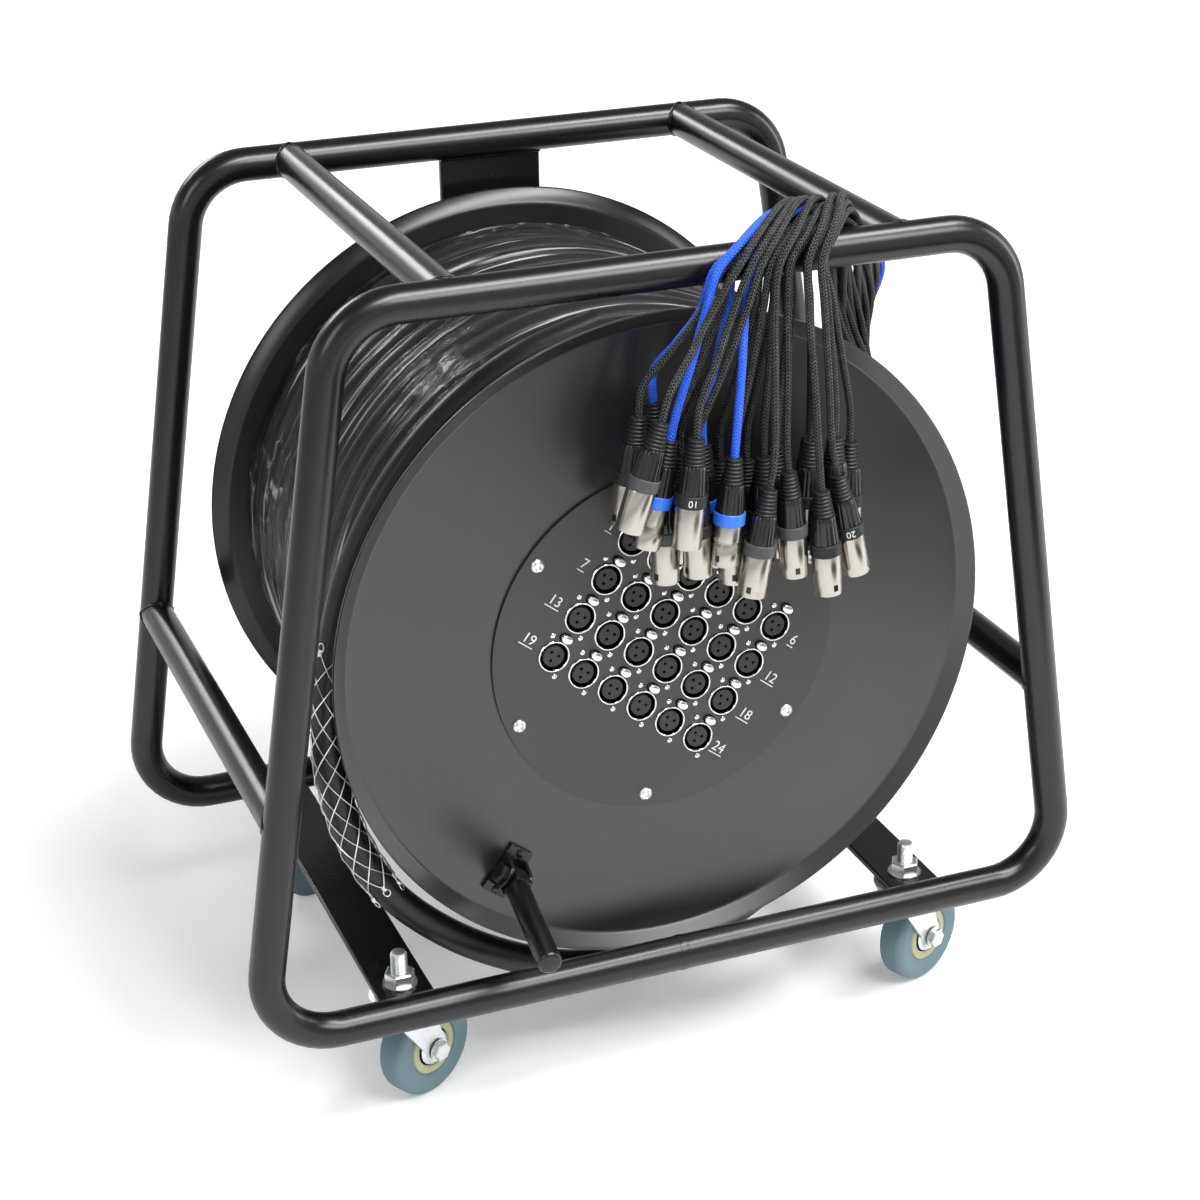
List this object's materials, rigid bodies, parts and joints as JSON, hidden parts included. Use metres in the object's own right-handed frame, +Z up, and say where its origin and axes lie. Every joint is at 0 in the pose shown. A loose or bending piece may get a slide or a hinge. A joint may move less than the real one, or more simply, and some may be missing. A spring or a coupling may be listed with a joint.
{
  "type": "stage box snake",
  "caption": "Stage multicore on a flanged drum with a socket panel, fan-out tails with plugs and a folding crank, in a bent-tube frame on swivel casters.",
  "frame": {"origin": "centre of the object's footprint on the floor, between the crank's tip and the rear loop, without the free cable", "axes": "+X to the right seen from the socket panel, +Y towards the support plate at the back, +Z up"},
  "size_m": [0.6298, 0.4677, 0.6302],
  "materials": {
    "black_powder_coat": "satin-gloss black powder coat",
    "panel_black": "matt black",
    "turned_steel": "turned steel",
    "zinc_plate": "bright zinc plate",
    "caster_tyre": "grey-blue soft tyre",
    "cable_jacket": "dark grey-black flexible jacket",
    "grip_wire": "galvanised wire",
    "boot_rubber": "matt black rubber",
    "braided_tails": "black braided sleeve",
    "plug_shell": "satin nickel",
    "latch_metal": "bright nickel"
  },
  "bodies": {
    "frame": {"front_frame_loop": "black_powder_coat", "rear_frame_loop": "black_powder_coat", "top_crossbar_left": "black_powder_coat", "top_crossbar_right": "black_powder_coat", "side_brace_left": "black_powder_coat", "side_brace_right": "black_powder_coat", "caster_strap_left": "black_powder_coat", "caster_strap_right": "black_powder_coat", "axle_support_plate": "black_powder_coat", "drum_axle": "turned_steel", "caster_stem_front_left": "zinc_plate", "caster_stem_front_right": "zinc_plate", "caster_stem_rear_left": "zinc_plate", "caster_stem_rear_right": "zinc_plate", "multicore_tail": "cable_jacket", "cable_grip": "grip_wire", "fanout_boot": "boot_rubber", "tail_bundle": "braided_tails", "plug_cluster": "plug_shell"},
    "drum": {"front_flange": "black_powder_coat", "rear_flange": "black_powder_coat", "drum_barrel": "black_powder_coat", "hub_bearing": "turned_steel", "cable_core": "cable_jacket", "cable_outer_layer": "cable_jacket", "connector_panel": "panel_black", "crank_bracket": "black_powder_coat"},
    "crank": {"crank_handle": "black_powder_coat"},
    "fork_front_left": {"caster_fork_front_left": "zinc_plate"},
    "wheel_front_left": {"caster_wheel_front_left": "caster_tyre"},
    "fork_front_right": {"caster_fork_front_right": "zinc_plate"},
    "wheel_front_right": {"caster_wheel_front_right": "caster_tyre"},
    "fork_rear_left": {"caster_fork_rear_left": "zinc_plate"},
    "wheel_rear_left": {"caster_wheel_rear_left": "caster_tyre"},
    "fork_rear_right": {"caster_fork_rear_right": "zinc_plate"},
    "wheel_rear_right": {"caster_wheel_rear_right": "caster_tyre"},
    "latch_01": {"latch_01": "latch_metal"},
    "latch_02": {"latch_02": "latch_metal"},
    "latch_03": {"latch_03": "latch_metal"},
    "latch_04": {"latch_04": "latch_metal"},
    "latch_05": {"latch_05": "latch_metal"},
    "latch_06": {"latch_06": "latch_metal"},
    "latch_07": {"latch_07": "latch_metal"},
    "latch_08": {"latch_08": "latch_metal"},
    "latch_09": {"latch_09": "latch_metal"},
    "latch_10": {"latch_10": "latch_metal"},
    "latch_11": {"latch_11": "latch_metal"},
    "latch_12": {"latch_12": "latch_metal"},
    "latch_13": {"latch_13": "latch_metal"},
    "latch_14": {"latch_14": "latch_metal"},
    "latch_15": {"latch_15": "latch_metal"},
    "latch_16": {"latch_16": "latch_metal"},
    "latch_17": {"latch_17": "latch_metal"},
    "latch_18": {"latch_18": "latch_metal"},
    "latch_19": {"latch_19": "latch_metal"},
    "latch_20": {"latch_20": "latch_metal"},
    "latch_21": {"latch_21": "latch_metal"},
    "latch_22": {"latch_22": "latch_metal"},
    "latch_23": {"latch_23": "latch_metal"},
    "latch_24": {"latch_24": "latch_metal"}
  },
  "joints": [
    {"name": "drum_spin", "type": "hinge", "parent": "frame", "child": "drum", "pos_m": [0, 0.03529, 0.332], "axis": [0, 1, 0], "range_deg": [-160, 125]},
    {"name": "crank_fold", "type": "hinge", "parent": "drum", "child": "crank", "pos_m": [-0.12047, -0.13571, 0.17613], "axis": [-0.7912, 0, 0.6115], "range_deg": [0, 98]},
    {"name": "swivel_front_left", "type": "hinge", "parent": "frame", "child": "fork_front_left", "pos_m": [-0.2, -0.11481, 0.088], "axis": [0, 0, 1], "continuous": true},
    {"name": "wheel_spin_front_left", "type": "hinge", "parent": "fork_front_left", "child": "wheel_front_left", "pos_m": [-0.18146, -0.10495, 0.0375], "axis": [-0.4695, 0.8829, 0], "continuous": true},
    {"name": "swivel_front_right", "type": "hinge", "parent": "frame", "child": "fork_front_right", "pos_m": [0.2, -0.11481, 0.088], "axis": [0, 0, 1], "continuous": true},
    {"name": "wheel_spin_front_right", "type": "hinge", "parent": "fork_front_right", "child": "wheel_front_right", "pos_m": [0.21903, -0.10594, 0.0375], "axis": [-0.4226, 0.9063, 0], "continuous": true},
    {"name": "swivel_rear_left", "type": "hinge", "parent": "frame", "child": "fork_rear_left", "pos_m": [-0.2, 0.18539, 0.088], "axis": [0, 0, 1], "continuous": true},
    {"name": "wheel_spin_rear_left", "type": "hinge", "parent": "fork_rear_left", "child": "wheel_rear_left", "pos_m": [-0.18219, 0.19652, 0.0375], "axis": [-0.5299, 0.848, 0], "continuous": true},
    {"name": "swivel_rear_right", "type": "hinge", "parent": "frame", "child": "fork_rear_right", "pos_m": [0.2, 0.18539, 0.088], "axis": [0, 0, 1], "continuous": true},
    {"name": "wheel_spin_rear_right", "type": "hinge", "parent": "fork_rear_right", "child": "wheel_rear_right", "pos_m": [0.21973, 0.19257, 0.0375], "axis": [-0.342, 0.9397, 0], "continuous": true},
    {"name": "latch_press_01", "type": "slide", "parent": "drum", "child": "latch_01", "axis": [0, 1, 0], "range_m": [0, 0.0015], "stiffness_N_per_m": 400},
    {"name": "latch_press_02", "type": "slide", "parent": "drum", "child": "latch_02", "axis": [0, 1, 0], "range_m": [0, 0.0015], "stiffness_N_per_m": 400},
    {"name": "latch_press_03", "type": "slide", "parent": "drum", "child": "latch_03", "axis": [0, 1, 0], "range_m": [0, 0.0015], "stiffness_N_per_m": 400},
    {"name": "latch_press_04", "type": "slide", "parent": "drum", "child": "latch_04", "axis": [0, 1, 0], "range_m": [0, 0.0015], "stiffness_N_per_m": 400},
    {"name": "latch_press_05", "type": "slide", "parent": "drum", "child": "latch_05", "axis": [0, 1, 0], "range_m": [0, 0.0015], "stiffness_N_per_m": 400},
    {"name": "latch_press_06", "type": "slide", "parent": "drum", "child": "latch_06", "axis": [0, 1, 0], "range_m": [0, 0.0015], "stiffness_N_per_m": 400},
    {"name": "latch_press_07", "type": "slide", "parent": "drum", "child": "latch_07", "axis": [0, 1, 0], "range_m": [0, 0.0015], "stiffness_N_per_m": 400},
    {"name": "latch_press_08", "type": "slide", "parent": "drum", "child": "latch_08", "axis": [0, 1, 0], "range_m": [0, 0.0015], "stiffness_N_per_m": 400},
    {"name": "latch_press_09", "type": "slide", "parent": "drum", "child": "latch_09", "axis": [0, 1, 0], "range_m": [0, 0.0015], "stiffness_N_per_m": 400},
    {"name": "latch_press_10", "type": "slide", "parent": "drum", "child": "latch_10", "axis": [0, 1, 0], "range_m": [0, 0.0015], "stiffness_N_per_m": 400},
    {"name": "latch_press_11", "type": "slide", "parent": "drum", "child": "latch_11", "axis": [0, 1, 0], "range_m": [0, 0.0015], "stiffness_N_per_m": 400},
    {"name": "latch_press_12", "type": "slide", "parent": "drum", "child": "latch_12", "axis": [0, 1, 0], "range_m": [0, 0.0015], "stiffness_N_per_m": 400},
    {"name": "latch_press_13", "type": "slide", "parent": "drum", "child": "latch_13", "axis": [0, 1, 0], "range_m": [0, 0.0015], "stiffness_N_per_m": 400},
    {"name": "latch_press_14", "type": "slide", "parent": "drum", "child": "latch_14", "axis": [0, 1, 0], "range_m": [0, 0.0015], "stiffness_N_per_m": 400},
    {"name": "latch_press_15", "type": "slide", "parent": "drum", "child": "latch_15", "axis": [0, 1, 0], "range_m": [0, 0.0015], "stiffness_N_per_m": 400},
    {"name": "latch_press_16", "type": "slide", "parent": "drum", "child": "latch_16", "axis": [0, 1, 0], "range_m": [0, 0.0015], "stiffness_N_per_m": 400},
    {"name": "latch_press_17", "type": "slide", "parent": "drum", "child": "latch_17", "axis": [0, 1, 0], "range_m": [0, 0.0015], "stiffness_N_per_m": 400},
    {"name": "latch_press_18", "type": "slide", "parent": "drum", "child": "latch_18", "axis": [0, 1, 0], "range_m": [0, 0.0015], "stiffness_N_per_m": 400},
    {"name": "latch_press_19", "type": "slide", "parent": "drum", "child": "latch_19", "axis": [0, 1, 0], "range_m": [0, 0.0015], "stiffness_N_per_m": 400},
    {"name": "latch_press_20", "type": "slide", "parent": "drum", "child": "latch_20", "axis": [0, 1, 0], "range_m": [0, 0.0015], "stiffness_N_per_m": 400},
    {"name": "latch_press_21", "type": "slide", "parent": "drum", "child": "latch_21", "axis": [0, 1, 0], "range_m": [0, 0.0015], "stiffness_N_per_m": 400},
    {"name": "latch_press_22", "type": "slide", "parent": "drum", "child": "latch_22", "axis": [0, 1, 0], "range_m": [0, 0.0015], "stiffness_N_per_m": 400},
    {"name": "latch_press_23", "type": "slide", "parent": "drum", "child": "latch_23", "axis": [0, 1, 0], "range_m": [0, 0.0015], "stiffness_N_per_m": 400},
    {"name": "latch_press_24", "type": "slide", "parent": "drum", "child": "latch_24", "axis": [0, 1, 0], "range_m": [0, 0.0015], "stiffness_N_per_m": 400}
  ]
}
